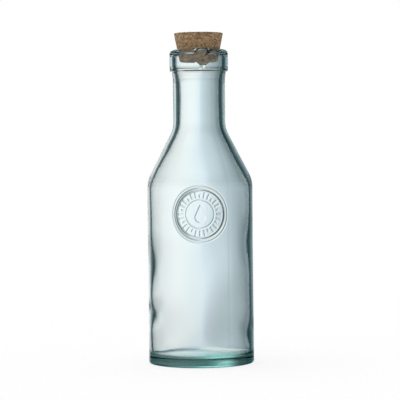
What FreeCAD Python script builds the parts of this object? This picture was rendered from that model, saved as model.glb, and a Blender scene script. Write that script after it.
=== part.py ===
import FreeCAD, Part
import math
import os

# A thick-walled one-litre bottle of recycled glass, standing on its base, with a tapered cork.
# Millimetres, +Z up. The origin is on the bottle's axis, at the level it stands on, and -Y is the
# side that carries the seal. The pouring lip points almost the same way, turned a little to +X.

# Driving dimensions of the glass
BODY_R = 45.0
GLASS_H = 267.0
NECK_R = 22.3
COLLAR_R = 24.8
COLLAR_H = 18.4
MOUTH_R = 18.0

# Shoulder: a straight cone between two roundings, given by the corners of its straight lines
SHOULDER_LOW_Z = 156.0
SHOULDER_HIGH_Z = 200.3
SHOULDER_LOW_ROUND = 24.0
SHOULDER_HIGH_ROUND = 26.0
SHOULDER_WALL = 4.4
NECK_WAIST_R = NECK_R - 0.2

# Cavity: wide in the body and narrow in the neck. Behind the collar it widens again, to a pocket
# under the inner edge of the mouth.
CAVITY_R = 41.2
NECK_BORE_R = 17.4
POCKET_R = 20.1
POCKET_TOP = 5.0
POCKET_LOW = 14.0
POCKET_ROUND = 5.0
POCKET_END = 26.0
POCKET_END_ROUND = 30.0

# Base: a flat ring to stand on, round a shallow dome pushed up into the glass
HEEL_ROUND = 2.2
PUNT_R = 33.0
PUNT_H = 1.2
FLOOR_Z = 7.3
FLOOR_DOME = 1.0
FLOOR_ROUND = 3.4

# Collar and mouth
FLARE_H = 6.5
FLARE_OUT = 0.8
FLARE_ROUND = 9.0
COLLAR_EDGE_ROUND = 0.8
COLLAR_BULGE = 0.3
RIM_OUTER_ROUND = 3.2
RIM_INNER_ROUND = 2.0

# Pouring lip: a beak pressed out of the collar, with a channel inside it. Each is a wide cone that
# stands on its tip and leans, so that its front line slopes out, trimmed to the width of the lip.
SPOUT_TURN = 8.5
SPOUT_HALF_ANGLE = 42.0
BEAK_LOW_Z = 249.6
BEAK_SLOPE = 10.5
BEAK_HALF_WIDTH = 8.0
BEAK_REACH = 27.9
BEAK_ROUND = 2.2
CHANNEL_LOW_Z = 258.5
CHANNEL_SLOPE = 27.0
CHANNEL_HALF_WIDTH = 5.6
CHANNEL_REACH = 24.5

# Raised seal on the front of the body: rings, a band of rays and a drop, all of one shallow relief
SEAL_Z = 128.3
SEAL_R = 24.2
SEAL_RING = 1.1
SEAL_RELIEF = 1.1
SEAL_INNER_RINGS = (21.0, 12.3)
SEAL_RAYS = 28
SEAL_LONG_RAY = (13.8, 18.6)
SEAL_SHORT_RAY = (13.8, 16.4)
SEAL_RAY_WIDTH = 1.3
SEAL_DROP_R = 4.4
SEAL_DROP_H = 10.5

# Cork: one cone, seated on the rounded inner edge of the mouth
CORK_H = 24.2
CORK_LOW_R = 16.4
CORK_HIGH_R = 21.1
CORK_EDGE = 0.5
CORK_SEAT_GAP = 0.02

# Lines of a profile shorter than this are left out
SMALLEST_LINE = 0.001


def point(radius, z):
    """A point of a profile in the XZ plane."""
    return FreeCAD.Vector(radius, 0, z)


def corner_arc(before, here, after, rounding):
    """The arc that rounds off the corner here: its start, middle and end."""
    to_before = (before - here).normalize()
    to_after = (after - here).normalize()
    half_turn = (math.pi - to_before.getAngle(to_after)) / 2
    reach = rounding * math.tan(half_turn)
    depth = rounding / math.cos(half_turn) - rounding
    middle_way = (to_before + to_after).normalize()
    return here + to_before * reach, here + middle_way * depth, here + to_after * reach


def rounded_path(corners):
    """Edges through the corners (radius, z, rounding), with tangent arcs where a rounding is given."""
    points = [point(radius, z) for radius, z, _ in corners]
    edges = []
    last = points[0]
    for i in range(1, len(corners)):
        start, middle, end = points[i], None, points[i]
        if corners[i][2]:
            start, middle, end = corner_arc(*points[i - 1 : i + 2], corners[i][2])
        if (start - last).Length > SMALLEST_LINE:
            edges.append(Part.LineSegment(last, start).toShape())
        if middle:
            edges.append(Part.Arc(start, middle, end).toShape())
        last = end
    return edges


def dome_arc(z_middle, radius, z_edge):
    """The arc of a shallow dome, from its middle on the axis out to its edge."""
    rise = z_middle - z_edge
    sphere_r = (radius**2 + rise**2) / (2 * rise)
    half = radius / 2
    z_half = z_middle - sphere_r + math.sqrt(sphere_r**2 - half**2)
    return Part.Arc(point(0, z_middle), point(half, z_half), point(radius, z_edge)).toShape()


def shoulder_drop(inset):
    """How far down the cavity's shoulder line is from the outer one's corner, this far inwards."""
    lean = math.atan2(BODY_R - NECK_WAIST_R, SHOULDER_HIGH_Z - SHOULDER_LOW_Z)
    return (inset * math.cos(lean) - SHOULDER_WALL) / math.sin(lean)


def glass_body():
    """The bottle turned about its axis: outside, rim, cavity and the dome under the base."""
    collar_z = GLASS_H - COLLAR_H
    high_inner_z = SHOULDER_HIGH_Z + shoulder_drop(NECK_WAIST_R - NECK_BORE_R)
    low_inner_z = SHOULDER_LOW_Z + shoulder_drop(BODY_R - CAVITY_R)
    floor_r = CAVITY_R - FLOOR_ROUND
    corners = [
        (PUNT_R, 0, 0),
        (BODY_R, 0, HEEL_ROUND),
        (BODY_R, SHOULDER_LOW_Z, SHOULDER_LOW_ROUND),
        (NECK_WAIST_R, SHOULDER_HIGH_Z, SHOULDER_HIGH_ROUND),
        (NECK_R, collar_z - FLARE_H, FLARE_ROUND),
        (NECK_R + FLARE_OUT, collar_z, 0),
        (COLLAR_R, collar_z, COLLAR_EDGE_ROUND),
        (COLLAR_R + COLLAR_BULGE, collar_z + COLLAR_H / 2, BODY_R),
        (COLLAR_R - COLLAR_BULGE / 2, GLASS_H, RIM_OUTER_ROUND),
        (MOUTH_R, GLASS_H, RIM_INNER_ROUND),
        (MOUTH_R, GLASS_H - POCKET_TOP / 2, 0),
        (POCKET_R, GLASS_H - POCKET_TOP, POCKET_ROUND),
        (POCKET_R, GLASS_H - POCKET_LOW, POCKET_ROUND),
        (NECK_BORE_R, GLASS_H - POCKET_END, POCKET_END_ROUND),
        (NECK_BORE_R, high_inner_z, SHOULDER_HIGH_ROUND + SHOULDER_WALL),
        (CAVITY_R, low_inner_z, SHOULDER_LOW_ROUND - SHOULDER_WALL),
        (CAVITY_R, FLOOR_Z, FLOOR_ROUND),
        (floor_r, FLOOR_Z, 0),
    ]
    edges = [dome_arc(PUNT_H, PUNT_R, 0)] + rounded_path(corners)
    edges.append(dome_arc(FLOOR_Z + FLOOR_DOME, floor_r, FLOOR_Z))
    edges.append(Part.LineSegment(point(0, PUNT_H), point(0, FLOOR_Z + FLOOR_DOME)).toShape())
    outline = Part.Wire(Part.__sortEdges__(edges))
    return Part.Face(outline).revolve(FreeCAD.Vector(), FreeCAD.Vector(0, 0, 1), 360)


def lip_form(tip_r, tip_z, slope, half_width, reach):
    """A leaning cone on its tip, in front of the axis, trimmed by an upright cylinder up to the rim."""
    height = 3 * (GLASS_H - tip_z)
    lean = math.radians(slope - SPOUT_HALF_ANGLE)
    up = FreeCAD.Vector(0, -math.sin(lean), math.cos(lean))
    top_r = height * math.tan(math.radians(SPOUT_HALF_ANGLE))
    cone = Part.makeCone(0, top_r, height, FreeCAD.Vector(0, -tip_r, tip_z), up)
    middle = FreeCAD.Vector(0, half_width - reach, tip_z)
    return cone.common(Part.makeCylinder(half_width, GLASS_H - tip_z, middle))


def spout_beak():
    """The beak outside the collar, its top edge rounded and its back kept out of the bore."""
    beak = lip_form(COLLAR_R, BEAK_LOW_Z, BEAK_SLOPE, BEAK_HALF_WIDTH, BEAK_REACH)
    top_edges = [e for e in beak.Edges if e.BoundBox.ZMin > GLASS_H - SMALLEST_LINE]
    beak = beak.makeFillet(BEAK_ROUND, top_edges)
    middle_r = (POCKET_R + COLLAR_R) / 2
    return beak.cut(Part.makeCylinder(middle_r, COLLAR_H, FreeCAD.Vector(0, 0, BEAK_LOW_Z)))


def spout_channel():
    """The groove from the pocket under the mouth up to the tip of the beak."""
    return lip_form(POCKET_R, CHANNEL_LOW_Z, CHANNEL_SLOPE, CHANNEL_HALF_WIDTH, CHANNEL_REACH)


def turned_to_spout(shape):
    """The shape turned about the bottle's axis from -Y to where the lip points."""
    return shape.rotated(FreeCAD.Vector(), FreeCAD.Vector(0, 0, 1), SPOUT_TURN)


def seal_prism(outline):
    """A flat outline in the seal's own plane, carried straight back into the bottle's wall."""
    face = Part.Face(outline)
    face.translate(FreeCAD.Vector(0, -BODY_R - 2 * SEAL_RELIEF, SEAL_Z))
    return face.extrude(FreeCAD.Vector(0, BODY_R / 2, 0))


def seal_circle(radius):
    """A circle in the seal's plane, about its middle."""
    return Part.Wire(Part.makeCircle(radius, FreeCAD.Vector(), FreeCAD.Vector(0, 1, 0)))


def seal_ring(outer_r):
    return seal_prism(seal_circle(outer_r)).cut(seal_prism(seal_circle(outer_r - SEAL_RING)))


def seal_ray(number):
    """One ray of the band. Every third ray is short."""
    low, high = SEAL_SHORT_RAY if number % 3 == 0 else SEAL_LONG_RAY
    half = SEAL_RAY_WIDTH / 2
    corners = [(-half, low), (half, low), (half, high), (-half, high), (-half, low)]
    outline = Part.makePolygon([FreeCAD.Vector(x, 0, z) for x, z in corners])
    turn = 360 * number / SEAL_RAYS
    return seal_prism(outline.rotated(FreeCAD.Vector(), FreeCAD.Vector(0, 1, 0), turn))


def seal_drop():
    """A drop: a round belly and two straight sides that touch it and meet at the tip."""
    belly = FreeCAD.Vector(0, 0, -SEAL_DROP_H / 4)
    tip = FreeCAD.Vector(0, 0, belly.z + SEAL_DROP_H)
    up = math.asin(SEAL_DROP_R / SEAL_DROP_H)
    side = FreeCAD.Vector(SEAL_DROP_R * math.cos(up), 0, SEAL_DROP_R * math.sin(up))
    right = belly + side
    left = belly + FreeCAD.Vector(-side.x, 0, side.z)
    bottom = belly - FreeCAD.Vector(0, 0, SEAL_DROP_R)
    return seal_prism(
        Part.Wire(
            [
                Part.Arc(right, bottom, left).toShape(),
                Part.LineSegment(left, tip).toShape(),
                Part.LineSegment(tip, right).toShape(),
            ]
        )
    )


def seal_relief():
    """All raised parts of the seal, trimmed to a thin shell that hugs the round body."""
    parts = [seal_ring(radius) for radius in (SEAL_R, *SEAL_INNER_RINGS)]
    parts += [seal_ray(number) for number in range(SEAL_RAYS)]
    parts.append(seal_drop())
    low = FreeCAD.Vector(0, 0, SEAL_Z - 2 * SEAL_R)
    shell = Part.makeCylinder(BODY_R + SEAL_RELIEF, 4 * SEAL_R, low)
    shell = shell.cut(Part.makeCylinder(BODY_R - SEAL_RELIEF, 4 * SEAL_R, low))
    return [part.common(shell) for part in parts]


def glass_bottle():
    bottle = glass_body().fuse(turned_to_spout(spout_beak()))
    bottle = bottle.cut(turned_to_spout(spout_channel()))
    return bottle.fuse(seal_relief())


def cork_stopper():
    """The tapered cork, lowered until its side meets the rounded inner edge of the mouth."""
    taper = math.atan2(CORK_HIGH_R - CORK_LOW_R, CORK_H)
    round_z = GLASS_H - RIM_INNER_ROUND
    seat_r = MOUTH_R + RIM_INNER_ROUND - (RIM_INNER_ROUND + CORK_SEAT_GAP) / math.cos(taper)
    low_z = round_z - (seat_r - CORK_LOW_R) / math.tan(taper)
    cone = Part.makeCone(CORK_LOW_R, CORK_HIGH_R, CORK_H, FreeCAD.Vector(0, 0, low_z))
    rims = [e for e in cone.Edges if isinstance(e.Curve, Part.Circle)]
    return cone.makeChamfer(CORK_EDGE, rims)


def one_solid(shape):
    """The single solid in the shape, with leftover splits between equal surfaces removed."""
    solids = shape.removeSplitter().Solids
    if len(solids) != 1 or not solids[0].isValid():
        raise ValueError("expected one valid solid, found %d" % len(solids))
    return solids[0]


def main():
    os.makedirs("parts", exist_ok=True)
    for name, shape in (("glass_bottle", glass_bottle()), ("cork_stopper", cork_stopper())):
        solid = one_solid(shape)
        solid.exportStep("parts/%s.step" % name)
        box = solid.optimalBoundingBox(False, False)
        print(name, "%.0f mm3" % solid.Volume, "x %.2f..%.2f" % (box.XMin, box.XMax),
              "y %.2f..%.2f" % (box.YMin, box.YMax), "z %.2f..%.2f" % (box.ZMin, box.ZMax))


main()
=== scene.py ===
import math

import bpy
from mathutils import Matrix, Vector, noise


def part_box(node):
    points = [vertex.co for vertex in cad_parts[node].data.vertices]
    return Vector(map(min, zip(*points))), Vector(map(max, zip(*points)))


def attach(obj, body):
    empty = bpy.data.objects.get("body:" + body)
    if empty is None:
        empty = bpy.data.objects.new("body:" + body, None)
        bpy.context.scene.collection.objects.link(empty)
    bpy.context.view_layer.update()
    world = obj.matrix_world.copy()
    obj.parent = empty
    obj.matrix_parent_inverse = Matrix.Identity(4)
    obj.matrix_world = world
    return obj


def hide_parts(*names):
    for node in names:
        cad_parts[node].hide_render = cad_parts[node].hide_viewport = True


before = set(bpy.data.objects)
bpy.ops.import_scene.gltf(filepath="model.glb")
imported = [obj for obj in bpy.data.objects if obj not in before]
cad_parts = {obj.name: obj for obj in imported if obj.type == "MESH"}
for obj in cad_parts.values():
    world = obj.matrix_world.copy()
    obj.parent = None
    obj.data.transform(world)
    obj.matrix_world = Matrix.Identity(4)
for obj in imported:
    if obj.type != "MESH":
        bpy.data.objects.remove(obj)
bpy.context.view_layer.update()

# An empty bottle of thick recycled glass with a tapered cork, on a white studio floor.
# The glass and the cork are modelled again as fine meshes: the glass with its uneven walls, raised
# seal and pressed pouring lip, the cork with its granules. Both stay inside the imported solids' box.
# Sizes of the object are in millimetres, +Z up, and MM turns them into the scene's metres.

MM = 0.001

GLASS_LOW, GLASS_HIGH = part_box("glass_bottle")
CORK_LOW, CORK_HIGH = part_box("cork_stopper")

# Driving dimensions of the glass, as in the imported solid
GLASS_H = GLASS_HIGH[2] / MM
BODY_R = round(GLASS_HIGH[0] / MM, 1)
NECK_R = 22.3
NECK_WAIST_R = 22.1
COLLAR_R = 24.8
COLLAR_H = 18.4
SHOULDER_LOW_Z = 156.0
SHOULDER_HIGH_Z = 200.3
SHOULDER_LOW_ROUND = 24.0
SHOULDER_HIGH_ROUND = 26.0
HEEL_ROUND = 2.2
PUNT_R = 33.0
PUNT_H = 1.2
FLOOR_Z = 7.3
FLOOR_DOME = 1.0
FLOOR_ROUND = 3.4
FLARE_H = 6.5
FLARE_OUT = 0.8
FLARE_ROUND = 9.0
COLLAR_EDGE_ROUND = 0.8
COLLAR_BULGE = 0.3
RIM_OUTER_ROUND = 3.2
RIM_INNER_ROUND = 2.0
MOUTH_R = 18.0
POCKET_R = 20.1
POCKET_TOP = 5.0
POCKET_LOW = 14.0
POCKET_ROUND = 5.0
POCKET_END = 26.0
POCKET_END_ROUND = 30.0
NECK_BORE_R = 17.4
SHOULDER_WALL = 4.4
CAVITY_R = 41.2

# The mould's parting line round the rim, and the place where the neck's wall is thickest
RIDGE_Z = 263.5
RIDGE_OUT = 0.4
RIDGE_HALF = 0.7
THICK_Z = 228.0
THICK_HALF = 22.0
THICK_IN = 0.35

# Pouring lip: how far the collar's outside and the bore are pressed out, from a tip up to the rim
SPOUT_TURN = math.radians(8.5)
SPOUT_SIDE = math.tan(math.radians(42.0))
BEAK_LOW_Z = 249.6
BEAK_OUT = 3.1
BEAK_HALF_WIDTH = 7.8
CHANNEL_LOW_Z = 258.5
CHANNEL_OUT = 5.5
CHANNEL_HALF_WIDTH = 6.2
SPOUT_REACH = 0.6

# Seal: raised rings, rays and a drop
SEAL_Z = 128.3
SEAL_R = 23.6
SEAL_RELIEF = 1.0
SEAL_LOW_RELIEF = 0.4
SEAL_BEVEL = 0.5
SEAL_TALL_R = 20.7
SEAL_TALL_HALF = 0.25
SEAL_TALL_FALL = 1.4
SEAL_FLANK = 0.75
SEAL_MOAT_DEPTH = 0.8
SEAL_MOAT_RISE = 0.7
SEAL_LOW_RINGS = ((23.6, 0.4), (11.8, 0.4))
SEAL_RAYS = 28
SEAL_LONG_RAY = (13.8, 18.4)
SEAL_SHORT_RAY = (13.8, 16.2)
SEAL_RAY_HALF_WIDTH = 0.6
SEAL_DROP_R = 4.4
SEAL_DROP_H = 10.5
SEAL_MARGIN = 2.0

# Uneven walls: how deep the long soft waves of each surface are, and how long
OUTER_WAVE = 0.3
OUTER_WAVE_LENGTH = 42.0
OUTER_WAVE_SEED = 3
OUTER_WAVE_START = (2.0, 12.0)
INNER_WAVE = 0.8
INNER_WAVE_LENGTH = 30.0
INNER_WAVE_SEED = 11
INNER_WAVE_CALM = 0.7
INNER_WAVE_START = (FLOOR_Z, FLOOR_Z + 12)
INNER_WAVE_END = (GLASS_H - 40, GLASS_H - 22)
WAVE_STRETCH = 0.6

# The glass is thinner at the sides, but for some lumps: their height, half their length, how far in
SIDE_THIN = 0.3
SIDE_SPREAD = (0.8, 0.95)
SIDE_LOW = (FLOOR_Z + 1, FLOOR_Z + 20)
SIDE_HIGH = (146.0, 162.0)
LEFT_LUMPS = ((84.0, 30.0, 0.9), (42.0, 14.0, 0.9))
RIGHT_LUMPS = ((104.0, 30.0, 0.7), (24.0, 18.0, 0.9))

# Stipple under the base, and the smoother part of it on the right. The smoother part is a guess,
# set by trial so that the base is dark on the left and bright on the right.
STIPPLE_R = 42.8
STIPPLE_TOP = 3.2
STIPPLE_ROUGHNESS = 0.8
SMOOTHER_ROUGHNESS = 0.25
SMOOTHER_FROM_TO = (2.0, 12.0)

# Mesh spacing in millimetres
FINE_STEP = 0.3
COLLAR_STEP = 0.5
MIDDLE_STEP = 0.9
COARSE_STEP = 4.0
ARC_STEP = math.radians(7.5)
SMALLEST_LINE = 1e-6


# ---------------------------------------------------------------- outlines

def corner_points(before, here, after, rounding):
    """Points of the arc that rounds off the corner here."""
    to_before = (before - here).normalized()
    to_after = (after - here).normalized()
    half_turn = (math.pi - to_before.angle(to_after)) / 2
    reach = rounding * math.tan(half_turn)
    start = here + to_before * reach
    end = here + to_after * reach
    centre = here + (to_before + to_after).normalized() * (rounding / math.cos(half_turn))
    count = max(2, round(2 * half_turn / ARC_STEP))
    arm, last_arm = start - centre, end - centre
    return [centre + rounding * arm.slerp(last_arm, i / count) for i in range(count + 1)]


def rounded_path(corners):
    """Points (radius, z) through the corners (radius, z, rounding), with their arcs."""
    points = [Vector((radius, z)) for radius, z, _ in corners]
    path = [points[0]]
    for i in range(1, len(corners) - 1):
        rounding = corners[i][2]
        path += corner_points(*points[i - 1 : i + 2], rounding) if rounding else [points[i]]
    path.append(points[-1])
    return path


def dome_path(z_middle, radius, z_edge, count):
    """Points of a shallow dome from near the axis to its edge."""
    rise = z_middle - z_edge
    sphere_r = (radius**2 + rise**2) / (2 * rise)
    radii = [radius * i / count for i in range(1, count + 1)]
    return [Vector((r, z_middle - sphere_r + math.sqrt(sphere_r**2 - r**2))) for r in radii]


def split_long(path, step_at):
    """The path with its long stretches divided into steps of about step_at(point)."""
    result = [path[0]]
    for start, end in zip(path, path[1:]):
        length = (end - start).length
        if length < SMALLEST_LINE:
            continue
        done = step_at(start)
        while done < length - step_at(end) / 2:
            result.append(start.lerp(end, done / length))
            done += step_at(result[-1])
        result.append(end)
    return result


def outer_step(point):
    """Spacing of the outside's rings: fine over the seal and the collar."""
    if abs(point.y - SEAL_Z) < SEAL_R + SEAL_MARGIN + COARSE_STEP:
        return FINE_STEP
    if point.y > GLASS_H - COLLAR_H - 1:
        return COLLAR_STEP
    return COARSE_STEP


def inner_step(point):
    """Spacing of the inside's rings: finer behind the pouring lip."""
    return MIDDLE_STEP if point.y > CHANNEL_LOW_Z - 2 else COARSE_STEP


def outer_outline():
    """From the edge of the dome under the base, up the outside and over the rim to the bore."""
    collar_z = GLASS_H - COLLAR_H
    corners = [
        (PUNT_R, 0, 0),
        (BODY_R, 0, HEEL_ROUND),
        (BODY_R, SHOULDER_LOW_Z, SHOULDER_LOW_ROUND),
        (NECK_WAIST_R, SHOULDER_HIGH_Z, SHOULDER_HIGH_ROUND),
        (NECK_R, collar_z - FLARE_H, FLARE_ROUND),
        (NECK_R + FLARE_OUT, collar_z, 0),
        (COLLAR_R, collar_z, COLLAR_EDGE_ROUND),
        (COLLAR_R + COLLAR_BULGE, collar_z + COLLAR_H / 2, BODY_R),
        (COLLAR_R - COLLAR_BULGE / 2, GLASS_H, RIM_OUTER_ROUND),
        (MOUTH_R, GLASS_H, RIM_INNER_ROUND),
        (MOUTH_R, GLASS_H - POCKET_TOP / 2, 0),
    ]
    return split_long(rounded_path(corners), outer_step)


def shoulder_drop(inset):
    """How far down the cavity's shoulder line is from the outer one's corner, this far inwards."""
    lean = math.atan2(BODY_R - NECK_WAIST_R, SHOULDER_HIGH_Z - SHOULDER_LOW_Z)
    return (inset * math.cos(lean) - SHOULDER_WALL) / math.sin(lean)


def inner_outline():
    """From the mouth down the inside to the edge of the floor."""
    high_inner_z = SHOULDER_HIGH_Z + shoulder_drop(NECK_WAIST_R - NECK_BORE_R)
    low_inner_z = SHOULDER_LOW_Z + shoulder_drop(BODY_R - CAVITY_R)
    corners = [
        (MOUTH_R, GLASS_H - POCKET_TOP / 2, 0),
        (POCKET_R, GLASS_H - POCKET_TOP, POCKET_ROUND),
        (POCKET_R, GLASS_H - POCKET_LOW, POCKET_ROUND),
        (NECK_BORE_R, GLASS_H - POCKET_END, POCKET_END_ROUND),
        (NECK_BORE_R, high_inner_z, SHOULDER_HIGH_ROUND + SHOULDER_WALL),
        (CAVITY_R, low_inner_z, SHOULDER_LOW_ROUND - SHOULDER_WALL),
        (CAVITY_R, FLOOR_Z, FLOOR_ROUND),
        (CAVITY_R - FLOOR_ROUND, FLOOR_Z, 0),
    ]
    return split_long(rounded_path(corners), inner_step)[1:]


# ---------------------------------------------------------------- forms on the glass

def ramp(value, low, high):
    """0 below low, 1 above high, smooth between them."""
    t = min(1.0, max(0.0, (value - low) / (high - low)))
    return t * t * (3 - 2 * t)


def pressed_out(side, height, low_z, out, half_width):
    """How far a lip is pressed out at a place this far to the side, and at this height."""
    above = height - low_z
    if above <= 0:
        return 0.0
    half = min(above * SPOUT_SIDE, half_width)
    across = side / half
    if abs(across) >= 1:
        return 0.0
    return out * (above / (GLASS_H - low_z)) * (1 - across**2)


def lip_shift(radius, z, angle):
    """Outward shift of the collar where the pouring lip is pressed out of it."""
    turn = angle - SPOUT_TURN
    if abs(turn) > SPOUT_REACH or z < BEAK_LOW_Z:
        return 0.0
    side = radius * math.sin(turn)
    outer = pressed_out(side, z, BEAK_LOW_Z, BEAK_OUT, BEAK_HALF_WIDTH)
    inner = pressed_out(side, z, CHANNEL_LOW_Z, CHANNEL_OUT, CHANNEL_HALF_WIDTH)
    outerness = min(1.0, max(0.0, (radius - MOUTH_R) / (COLLAR_R - COLLAR_BULGE / 2 - MOUTH_R)))
    return outerness * outer + (1 - outerness) * inner


def drop_distance(x, z):
    """Distance outside the drop's outline, negative inside it."""
    belly_z = -SEAL_DROP_H / 4
    up = math.asin(SEAL_DROP_R / SEAL_DROP_H)
    x, z = abs(x), z - belly_z
    along = x * math.cos(up) + z * math.sin(up)
    behind = z * math.cos(up) - x * math.sin(up)
    if behind > 0:
        return along - SEAL_DROP_R
    return math.hypot(x, z) - SEAL_DROP_R


def ray_distance(x, z):
    """Distance outside the nearest ray of the seal's band."""
    pitch = 2 * math.pi / SEAL_RAYS
    angle = math.atan2(x, z)
    number = round(angle / pitch)
    low, high = SEAL_SHORT_RAY if number % 3 == 0 else SEAL_LONG_RAY
    out = math.hypot(x, z)
    turn = angle - number * pitch
    across = abs(out * math.sin(turn)) - SEAL_RAY_HALF_WIDTH
    along = abs(out * math.cos(turn) - (low + high) / 2) - (high - low) / 2
    return max(across, along)


def tall_ring_height(out):
    """Height of the seal's tall ring, whose steep inner flank goes down to a moat."""
    crest_low, crest_high = SEAL_TALL_R - SEAL_TALL_HALF, SEAL_TALL_R + SEAL_TALL_HALF
    stops = (
        (crest_low - SEAL_FLANK - SEAL_MOAT_RISE, 0.0),
        (crest_low - SEAL_FLANK, -SEAL_MOAT_DEPTH),
        (crest_low, SEAL_RELIEF),
        (crest_high, SEAL_RELIEF),
        (crest_high + SEAL_TALL_FALL, 0.0),
    )
    for (low, low_height), (high, high_height) in zip(stops, stops[1:]):
        if low <= out < high:
            return low_height + (high_height - low_height) * (out - low) / (high - low)
    return 0.0


def seal_height(x, z):
    """Relief of the seal at a place on the unrolled front of the body."""
    out = math.hypot(x, z)
    if out > SEAL_R + SEAL_MARGIN:
        return 0.0
    distance = min(abs(out - ring_r) - half for ring_r, half in SEAL_LOW_RINGS)
    distance = min(distance, ray_distance(x, z), drop_distance(x, z))
    low = SEAL_LOW_RELIEF * (1 - ramp(distance, -SEAL_BEVEL / 2, SEAL_BEVEL / 2))
    return low + tall_ring_height(out)


def wave(radius, z, angle, length, seed):
    """Soft unevenness between -1 and 1, stretched along the bottle."""
    place = Vector((radius * math.sin(angle), radius * math.cos(angle), WAVE_STRETCH * z)) / length
    return noise.noise(place + Vector((seed, 0, 0)))


def bump(value, middle, half):
    """1 at the middle, falling smoothly to 0 at half on either side."""
    return 1 - ramp(abs(value - middle), 0, half)


def outer_radius(radius, z, angle):
    """Radius of the outside with its lip, parting line, waves and seal."""
    radius += lip_shift(radius, z, angle)
    if radius > MOUTH_R + RIM_INNER_ROUND:
        radius += RIDGE_OUT * bump(z, RIDGE_Z, RIDGE_HALF)
    if z < GLASS_H - COLLAR_H and radius > PUNT_R:
        # only inwards, so that the glass stays inside the solid's box
        height = 0.5 * (1 + wave(radius, z, angle, OUTER_WAVE_LENGTH, OUTER_WAVE_SEED))
        radius -= ramp(z, *OUTER_WAVE_START) * OUTER_WAVE * height
    if abs(z - SEAL_Z) < SEAL_R + SEAL_MARGIN:
        radius += seal_height(BODY_R * angle, z - SEAL_Z)
    return radius


def side_shift(z, angle):
    """How far out the cavity's wall is at the bottle's sides, and in at their lumps."""
    side = math.sin(angle)
    weight = ramp(abs(side), *SIDE_SPREAD) * ramp(z, *SIDE_LOW) * (1 - ramp(z, *SIDE_HIGH))
    lumps = RIGHT_LUMPS if side > 0 else LEFT_LUMPS
    return weight * (SIDE_THIN - sum(depth * bump(z, middle, half) for middle, half, depth in lumps))


def inner_radius(radius, z, angle):
    """Radius of the inside with its waves, the sides' lumps, the thick neck and the channel."""
    fade = ramp(z, *INNER_WAVE_START) * (1 - ramp(z, *INNER_WAVE_END))
    fade *= (radius / CAVITY_R) ** 2 * (1 - INNER_WAVE_CALM * ramp(abs(math.sin(angle)), *SIDE_SPREAD))
    shift = INNER_WAVE * fade * wave(radius, z, angle, INNER_WAVE_LENGTH, INNER_WAVE_SEED)
    shift += side_shift(z, angle) - THICK_IN * bump(z, THICK_Z, THICK_HALF)
    return radius + shift + lip_shift(radius, z, angle)


# ---------------------------------------------------------------- meshes

def column_angles():
    """Angles round the bottle from the front, -Y, towards +X: fine over the seal and the lip."""
    fine_half = (SEAL_R + SEAL_MARGIN) / BODY_R
    fine = 2 * round(fine_half * BODY_R / FINE_STEP)
    coarse = 2 * round((math.pi - fine_half) * BODY_R / COARSE_STEP)
    angles = [-fine_half + 2 * fine_half * i / fine for i in range(fine)]
    rest = 2 * (math.pi - fine_half)
    return angles + [fine_half + rest * i / coarse for i in range(coarse)]


def ring_mesh(name, rings, low_pole, high_pole):
    """A closed mesh from rings of points, with a single point at each end."""
    count = len(rings[0])
    vertices = [p * MM for ring in rings for p in ring]
    faces = []
    for i in range(len(rings) - 1):
        for j in range(count):
            k = (j + 1) % count
            faces.append((i * count + j, i * count + k, (i + 1) * count + k, (i + 1) * count + j))
    low, high = len(vertices), len(vertices) + 1
    vertices += [low_pole * MM, high_pole * MM]
    last = (len(rings) - 1) * count
    for j in range(count):
        k = (j + 1) % count
        faces.append((low, k, j))
        faces.append((high, last + j, last + k))
    mesh = bpy.data.meshes.new(name)
    mesh.from_pydata([tuple(v) for v in vertices], [], faces)
    mesh.polygons.foreach_set("use_smooth", [True] * len(mesh.polygons))
    mesh.validate()
    piece = bpy.data.objects.new(name, mesh)
    bpy.context.scene.collection.objects.link(piece)
    return piece


def on_ring(radius, z, angle):
    """The point at this radius and height, at an angle from the front."""
    return Vector((radius * math.sin(angle), -radius * math.cos(angle), z))


def glass_bottle():
    """The whole bottle as one closed surface: under the base, outside, rim, inside and floor."""
    angles = column_angles()
    rings = [[on_ring(p.x, p.y, a) for a in angles] for p in dome_path(PUNT_H, PUNT_R, 0, 10)[:-1]]
    for p in outer_outline():
        rings.append([on_ring(outer_radius(p.x, p.y, a), p.y, a) for a in angles])
    for p in inner_outline():
        rings.append([on_ring(inner_radius(p.x, p.y, a), p.y, a) for a in angles])
    floor_r = CAVITY_R - FLOOR_ROUND
    floor = dome_path(FLOOR_Z + FLOOR_DOME, floor_r, FLOOR_Z, 10)[:-1]
    rings += [[on_ring(p.x, p.y, a) for a in angles] for p in reversed(floor)]
    low_pole = Vector((0, 0, PUNT_H))
    high_pole = Vector((0, 0, FLOOR_Z + FLOOR_DOME))
    return ring_mesh("glass", rings, low_pole, high_pole)


# Cork: its edges, its taper in radius for each millimetre of height, and its granules
CORK_EDGE = 0.6
CORK_TAPER = 0.194
CORK_POLE_R = 0.5
CORK_POLE_DIP = 0.1
CORK_STEP = 0.4
CORK_COLUMNS = 320
GRANULE = 1.2
GRANULE_DEPTH = 0.3


def cork_relief(place):
    """Depth of the cork's surface below its smooth form, from 0 on a granule to the joints."""
    distances, _ = noise.voronoi(place / GRANULE)
    joint = 1 - ramp(distances[1] - distances[0], 0.0, 0.35)
    soft = 0.5 + 0.5 * noise.noise(place / (2.5 * GRANULE))
    return GRANULE_DEPTH * (0.65 * joint + 0.35 * soft)


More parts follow.
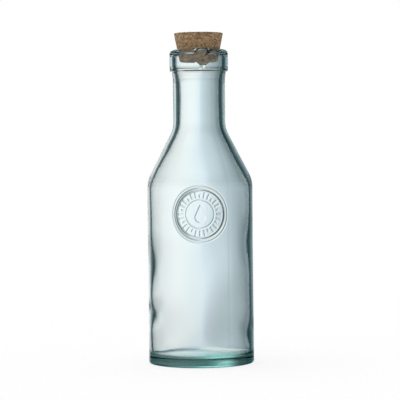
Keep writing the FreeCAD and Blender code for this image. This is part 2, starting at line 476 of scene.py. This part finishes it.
def cork_stopper():
    """The cork as one closed surface, with its granules pressed inwards from the smooth cone."""
    low_z, high_z = CORK_LOW[2] / MM, CORK_HIGH[2] / MM
    high_r = CORK_HIGH[0] / MM
    low_r = high_r - (high_z - low_z) * CORK_TAPER
    corners = [
        (CORK_POLE_R, low_z, 0),
        (low_r, low_z, CORK_EDGE),
        (high_r, high_z, CORK_EDGE),
        (CORK_POLE_R, high_z, 0),
    ]
    outline = split_long(rounded_path(corners), lambda point: CORK_STEP)
    angles = [2 * math.pi * i / CORK_COLUMNS for i in range(CORK_COLUMNS)]
    rings = []
    for i, p in enumerate(outline):
        before, after = outline[max(0, i - 1)], outline[min(len(outline) - 1, i + 1)]
        along = (after - before).normalized()
        inward = Vector((-along.y, along.x))
        ring = []
        for a in angles:
            q = p + inward * cork_relief(on_ring(p.x, p.y, a))
            ring.append(on_ring(q.x, q.y, a))
        rings.append(ring)
    low_pole = Vector((0, 0, low_z + CORK_POLE_DIP))
    high_pole = Vector((0, 0, high_z - CORK_POLE_DIP))
    return ring_mesh("cork", rings, low_pole, high_pole)


# ---------------------------------------------------------------- materials

def new_material(name):
    """An empty material and its node tree."""
    material = bpy.data.materials.new(name)
    material.use_nodes = True
    material.node_tree.nodes.clear()
    return material, material.node_tree


def node(tree, kind, settings=None, **inputs):
    """A node with its settings and its inputs, each a value or the socket to link.

    An input goes by its name, with _ for a space, or by i and its number.
    """
    made = tree.nodes.new(kind)
    for key, value in (settings or {}).items():
        setattr(made, key, value)
    for key, value in inputs.items():
        by_number = key[0] == "i" and key[1:].isdigit()
        socket = made.inputs[int(key[1:]) if by_number else key.replace("_", " ")]
        if isinstance(value, bpy.types.NodeSocket):
            tree.links.new(value, socket)
        else:
            socket.default_value = value
    return made


def math_node(tree, operation, first, second=0.0, clamp=False):
    settings = {"operation": operation, "use_clamp": clamp}
    made = node(tree, "ShaderNodeMath", settings, i0=first, i1=second)
    return made.outputs[0]


def multiply_node(tree, first, second):
    made = node(tree, "ShaderNodeVectorMath", {"operation": "MULTIPLY"}, i0=first, i1=second)
    return made.outputs[0]


def colour_ramp(tree, factor, stops):
    """A colour ramp through stops of (position, grey or colour)."""
    made = node(tree, "ShaderNodeValToRGB", Fac=factor)
    elements = made.color_ramp.elements
    while len(elements) < len(stops):
        elements.new(0.5)
    for element, (position, colour) in zip(elements, stops):
        element.position = position
        element.color = (*colour, 1.0)
    return made.outputs["Color"]


def glass_material():
    """Clear tinted glass, with the stipple that such bottles have under their base as roughness."""
    material, tree = new_material("recycled_glass")
    place = node(tree, "ShaderNodeTexCoord").outputs["Object"]
    parts = node(tree, "ShaderNodeSeparateXYZ", Vector=place).outputs
    level = node(tree, "ShaderNodeVectorMath", {"operation": "MULTIPLY"}, i0=place, i1=(1, 1, 0))
    out = node(tree, "ShaderNodeVectorMath", {"operation": "LENGTH"}, i0=level.outputs[0])
    low = math_node(tree, "LESS_THAN", parts["Z"], STIPPLE_TOP * MM)
    inside = math_node(tree, "LESS_THAN", out.outputs["Value"], STIPPLE_R * MM)
    start, end = SMOOTHER_FROM_TO
    stipple = node(
        tree, "ShaderNodeMapRange", Value=parts["X"],
        From_Min=start * MM, From_Max=end * MM,
        To_Min=STIPPLE_ROUGHNESS, To_Max=SMOOTHER_ROUGHNESS,
    ).outputs["Result"]
    rough = math_node(tree, "MULTIPLY", math_node(tree, "MULTIPLY", low, inside), stipple)
    shader = node(
        tree, "ShaderNodeBsdfPrincipled",
        Base_Color=(1.0, 1.0, 1.0, 1.0), Roughness=rough, IOR=1.5, Transmission_Weight=1.0,
    )
    tint = node(
        tree, "ShaderNodeVolumeAbsorption",
        Color=(0.115, 0.862, 0.80, 1.0), Density=13.0,
    )
    node(
        tree, "ShaderNodeOutputMaterial",
        Surface=shader.outputs["BSDF"], Volume=tint.outputs["Volume"],
    )
    return material


def cork_material():
    """Granules of different browns, as large as those of the cork's relief."""
    material, tree = new_material("agglomerated_cork")
    place = node(tree, "ShaderNodeTexCoord").outputs["Object"]
    cells = node(
        tree, "ShaderNodeTexVoronoi", {"feature": "F1"}, Vector=place, Scale=1 / (GRANULE * MM)
    )
    cell_tone = node(tree, "ShaderNodeSeparateColor", Color=cells.outputs["Color"]).outputs[0]
    tone = colour_ramp(
        tree, cell_tone,
        [(0.0, (0.12, 0.066, 0.03)), (0.35, (0.24, 0.145, 0.07)), (1.0, (0.42, 0.285, 0.155))],
    )
    shader = node(tree, "ShaderNodeBsdfPrincipled", Base_Color=tone, Roughness=0.85)
    node(tree, "ShaderNodeOutputMaterial", Surface=shader.outputs["BSDF"])
    return material


# ---------------------------------------------------------------- studio

# What the glass shows of the studio round it, by azimuth in degrees from +Y, which is behind the
# bottle, towards +X: a wide white panel behind on the left, a grey side that falls off to the right,
# and a dark gap at each end of them.
PANORAMA = (
    (-180.0, (0.72, 0.77, 0.79)),
    (-120.0, (0.72, 0.77, 0.79)),
    (-75.0, (0.25, 0.28, 0.30)),
    (-62.0, (0.02, 0.05, 0.06)),
    (-38.5, (0.02, 0.05, 0.06)),
    (-34.0, (0.04, 0.08, 0.09)),
    (-30.0, (0.17, 0.22, 0.23)),
    (-26.0, (0.46, 0.50, 0.51)),
    (-21.0, (0.95, 0.97, 0.97)),
    (-14.0, (1.00, 1.00, 1.00)),
    (-5.5, (1.00, 1.00, 1.00)),
    (-3.4, (1.00, 1.00, 1.00)),
    (-1.8, (0.97, 1.00, 1.00)),
    (0.0, (0.83, 0.91, 0.97)),
    (1.5, (0.62, 0.70, 0.76)),
    (4.5, (0.46, 0.54, 0.58)),
    (9.0, (0.35, 0.42, 0.45)),
    (15.0, (0.26, 0.33, 0.36)),
    (23.0, (0.18, 0.25, 0.27)),
    (30.0, (0.07, 0.12, 0.13)),
    (38.5, (0.02, 0.05, 0.06)),
    (62.0, (0.02, 0.05, 0.06)),
    (75.0, (0.25, 0.28, 0.30)),
    (120.0, (0.72, 0.77, 0.79)),
    (180.0, (0.72, 0.77, 0.79)),
)

# How bright the panorama is by elevation, in degrees: a dark gap between the panels and the light
# overhead
ELEVATION_GAIN = (
    (-90.0, 0.8), (-6.5, 0.8), (-3.0, 1.0), (4.0, 1.0), (16.0, 0.8), (26.0, 0.4), (42.0, 0.4),
    (52.0, 1.0), (90.0, 1.0),
)

# Which way the light on dull things leans, and how much
LIGHT_LEAN = (-0.45, 0.35, 0.0)

# The floor: its size, how much of it is plain white, and what the glass shows of it by the place
# below the base, in metres to the right. These colours were set one by one. They stand in for light
# inside the base, which makes it mint on the right.
FLOOR_R = 6.0
FLOOR_GAP = 0.00005
FLOOR_PLAIN = 0.75
FLOOR_NEAR_R = 0.045
FLOOR_RIM = (0.026, 0.034)
FLOOR_HALF = 0.045
# Painted light and shade under the base, by the place to the right: emission colours that only rays
# from the glass see.
FLOOR_INNER_PAINTED_LIGHT = (
    (-0.045, (0.60, 0.72, 0.75)),
    (-0.015, (0.42, 0.60, 0.62)),
    (0.000, (0.25, 0.58, 0.55)),
    (0.012, (0.33, 0.86, 0.77)),
    (0.024, (0.28, 0.74, 0.66)),
    (0.034, (0.16, 0.34, 0.32)),
    (0.045, (0.08, 0.12, 0.13)),
)
FLOOR_RIM_PAINTED_LIGHT = (
    (-0.045, (0.08, 0.15, 0.15)),
    (-0.012, (0.08, 0.17, 0.17)),
    (0.000, (0.12, 0.32, 0.29)),
    (0.009, (0.30, 0.72, 0.64)),
    (0.026, (0.26, 0.66, 0.58)),
    (0.034, (0.14, 0.30, 0.27)),
    (0.041, (0.02, 0.05, 0.05)),
)


def azimuth_ramp(tree, place, stops):
    """A colour ramp through stops of (azimuth in degrees, colour)."""
    return colour_ramp(tree, place, [(a / 360 + 0.5, colour) for a, colour in stops])


def elevation_ramp(tree, level, stops):
    """A grey ramp through stops of (elevation in degrees, brightness)."""
    return colour_ramp(tree, level, [(e / 180 + 0.5, (g, g, g)) for e, g in stops])


def panorama_group():
    """Node group: the studio's colour in the direction of a vector."""
    tree = bpy.data.node_groups.new("studio_panorama", "ShaderNodeTree")
    tree.interface.new_socket("Vector", in_out="INPUT", socket_type="NodeSocketVector")
    tree.interface.new_socket("Color", in_out="OUTPUT", socket_type="NodeSocketColor")
    given = tree.nodes.new("NodeGroupInput")
    result = tree.nodes.new("NodeGroupOutput")
    way = node(tree, "ShaderNodeVectorMath", {"operation": "NORMALIZE"}, i0=given.outputs[0])
    parts = node(tree, "ShaderNodeSeparateXYZ", Vector=way.outputs[0])
    # a full turn of azimuth as 0 to 1, growing from +Y, which lies behind the bottle, towards +X
    angle = math_node(tree, "ARCTAN2", parts.outputs["X"], parts.outputs["Y"])
    place = math_node(tree, "ADD", math_node(tree, "DIVIDE", angle, 2 * math.pi), 0.5)
    # from -90 to 90 degrees of elevation as 0 to 1
    height = math_node(tree, "ARCSINE", parts.outputs["Z"])
    level = math_node(tree, "ADD", math_node(tree, "DIVIDE", height, math.pi), 0.5)
    bands = azimuth_ramp(tree, place, PANORAMA)
    gain = elevation_ramp(tree, level, ELEVATION_GAIN)
    tree.links.new(multiply_node(tree, bands, gain), result.inputs[0])
    return tree


def studio_world(panorama):
    """The panorama for what shines or is seen through glass, plain white for all else."""
    world = bpy.data.worlds.new("studio")
    bpy.context.scene.world = world
    world.use_nodes = True
    tree = world.node_tree
    tree.nodes.clear()
    way = node(tree, "ShaderNodeTexCoord").outputs["Generated"]
    bands = tree.nodes.new("ShaderNodeGroup")
    bands.node_tree = panorama
    tree.links.new(way, bands.inputs[0])
    seen = node(tree, "ShaderNodeBackground", Color=bands.outputs[0], Strength=1.0)
    path = node(tree, "ShaderNodeLightPath")
    # dull things get as much light as the white background gives, but more of it from the back left
    dull = math_node(tree, "GREATER_THAN", path.outputs["Diffuse Depth"], 0.5)
    lean = node(tree, "ShaderNodeVectorMath", {"operation": "DOT_PRODUCT"}, i0=way, i1=LIGHT_LEAN)
    extra = math_node(tree, "MULTIPLY", lean.outputs["Value"], dull)
    strength = math_node(tree, "ADD", extra, 1.0)
    plain = node(tree, "ShaderNodeBackground", Color=(1.0, 1.0, 1.0, 1.0), Strength=strength)
    shine = math_node(
        tree, "MAXIMUM", path.outputs["Is Glossy Ray"], path.outputs["Is Transmission Ray"]
    )
    through = math_node(tree, "SUBTRACT", shine, dull, clamp=True)
    mix = node(tree, "ShaderNodeMixShader", Fac=through, i1=plain.outputs[0], i2=seen.outputs[0])
    node(tree, "ShaderNodeOutputWorld", Surface=mix.outputs[0])


def studio_floor():
    """White paper. Rays that leave the glass sideways pass it, so that the base shows the panorama.
    Under the base, rays from the glass see painted light and shade.
    """
    material, tree = new_material("white_floor")
    place = node(tree, "ShaderNodeNewGeometry").outputs["Position"]
    paper = node(tree, "ShaderNodeBsdfDiffuse", Color=(1.0, 1.0, 1.0, 1.0))
    white = node(tree, "ShaderNodeEmission", Color=(1.0, 1.0, 1.0, 1.0), Strength=1.0)
    clear = node(tree, "ShaderNodeBsdfTransparent")
    path = node(tree, "ShaderNodeLightPath")
    plain = math_node(tree, "MULTIPLY", path.outputs["Is Camera Ray"], FLOOR_PLAIN)
    lit = node(tree, "ShaderNodeMixShader", Fac=plain, i1=paper.outputs[0], i2=white.outputs[0])
    through = math_node(
        tree, "MAXIMUM", path.outputs["Is Glossy Ray"], path.outputs["Is Transmission Ray"]
    )
    out = node(tree, "ShaderNodeVectorMath", {"operation": "LENGTH"}, i0=place).outputs["Value"]
    away = math_node(tree, "GREATER_THAN", out, FLOOR_NEAR_R)
    side = node(tree, "ShaderNodeSeparateXYZ", Vector=place).outputs["X"]
    across = math_node(tree, "ADD", math_node(tree, "DIVIDE", side, 2 * FLOOR_HALF), 0.5)
    # Painted light and shade: under the base the floor glows with these colours for rays from the
    # glass, in place of light that falls there.
    inner = colour_ramp(tree, across, [(x / (2 * FLOOR_HALF) + 0.5, c) for x, c in FLOOR_INNER_PAINTED_LIGHT])
    rim = colour_ramp(tree, across, [(x / (2 * FLOOR_HALF) + 0.5, c) for x, c in FLOOR_RIM_PAINTED_LIGHT])
    low, high = FLOOR_RIM
    rimness = node(
        tree, "ShaderNodeMapRange", Value=out, From_Min=low, From_Max=high
    ).outputs["Result"]
    painted_light_colour = node(
        tree, "ShaderNodeMix", {"data_type": "RGBA"}, i0=rimness, i6=inner, i7=rim
    ).outputs["Result"]
    painted_light = node(tree, "ShaderNodeEmission", Strength=1.0)
    tree.links.new(painted_light_colour, painted_light.inputs["Color"])
    beyond = node(tree, "ShaderNodeMixShader", Fac=away, i1=painted_light.outputs[0], i2=clear.outputs[0])
    mix = node(tree, "ShaderNodeMixShader", Fac=through, i1=lit.outputs[0], i2=beyond.outputs[0])
    node(tree, "ShaderNodeOutputMaterial", Surface=mix.outputs[0])
    bpy.ops.mesh.primitive_circle_add(
        vertices=96, radius=FLOOR_R, fill_type="NGON", location=(0, 0, -FLOOR_GAP)
    )
    floor = bpy.context.object
    floor.name = "studio_floor"
    floor.data.materials.append(material)


# ---------------------------------------------------------------- camera

CAMERA_DISTANCE = 1500.0
CAMERA_Z = 178.0
AIM_Z = 139.0
FRAME_WIDTH = 341.9
SENSOR = 36.0
ROLL = math.radians(0.57)


def studio_camera():
    """The camera in front of the bottle, at the height of its shoulder, with a small roll."""
    data = bpy.data.cameras.new("camera")
    camera = bpy.data.objects.new("camera", data)
    bpy.context.scene.collection.objects.link(camera)
    place = Vector((0, -CAMERA_DISTANCE, CAMERA_Z)) * MM
    aim = Vector((0, 0, AIM_Z)) * MM
    look = (aim - place).to_track_quat("-Z", "Y").to_matrix().to_4x4()
    camera.matrix_world = Matrix.Translation(place) @ look @ Matrix.Rotation(-ROLL, 4, "Z")
    data.sensor_width = SENSOR
    data.lens = SENSOR * (aim - place).length / (FRAME_WIDTH * MM)
    data.clip_start = 0.05
    data.clip_end = 50
    bpy.context.scene.camera = camera


def main():
    glass = glass_bottle()
    glass.data.materials.append(glass_material())
    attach(glass, "root")
    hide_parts("glass_bottle")

    cork = cork_stopper()
    cork.data.materials.append(cork_material())
    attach(cork, "root")
    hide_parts("cork_stopper")

    panorama = panorama_group()
    studio_world(panorama)
    studio_floor()
    studio_camera()
    scene = bpy.context.scene
    scene.view_settings.view_transform = "Standard"
    scene.cycles.max_bounces = 24
    scene.cycles.transmission_bounces = 24


main()
